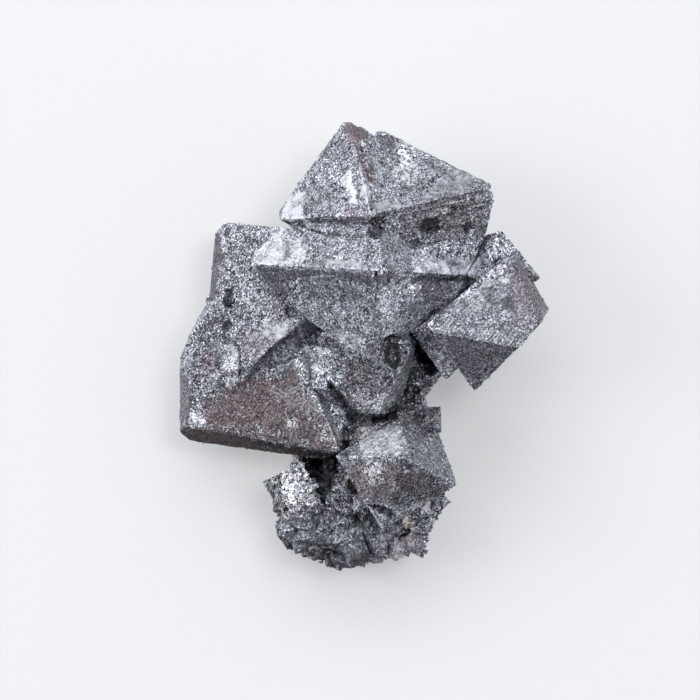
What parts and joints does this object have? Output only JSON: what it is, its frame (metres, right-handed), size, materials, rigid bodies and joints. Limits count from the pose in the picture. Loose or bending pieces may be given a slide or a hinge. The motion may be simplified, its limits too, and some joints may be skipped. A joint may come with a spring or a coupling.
{
  "type": "hematite crystal cluster",
  "caption": "Natural cluster of intergrown octahedral hematite crystals with flat, pitted and stepped faces, lying on a flat broken back.",
  "frame": {"origin": "on the flat contact face at the back, under the middle of the cluster's bounding box", "axes": "+Z out of the best side, away from the contact face; +Y along the longest extent, up on the best side; +X to the right on the best side"},
  "size_m": [0.0516, 0.0624, 0.0285],
  "materials": {
    "hematite": "steel grey, metallic and sparkling, with brown tints"
  },
  "bodies": {
    "root": {"hematite_cluster": "hematite"}
  },
  "joints": []
}
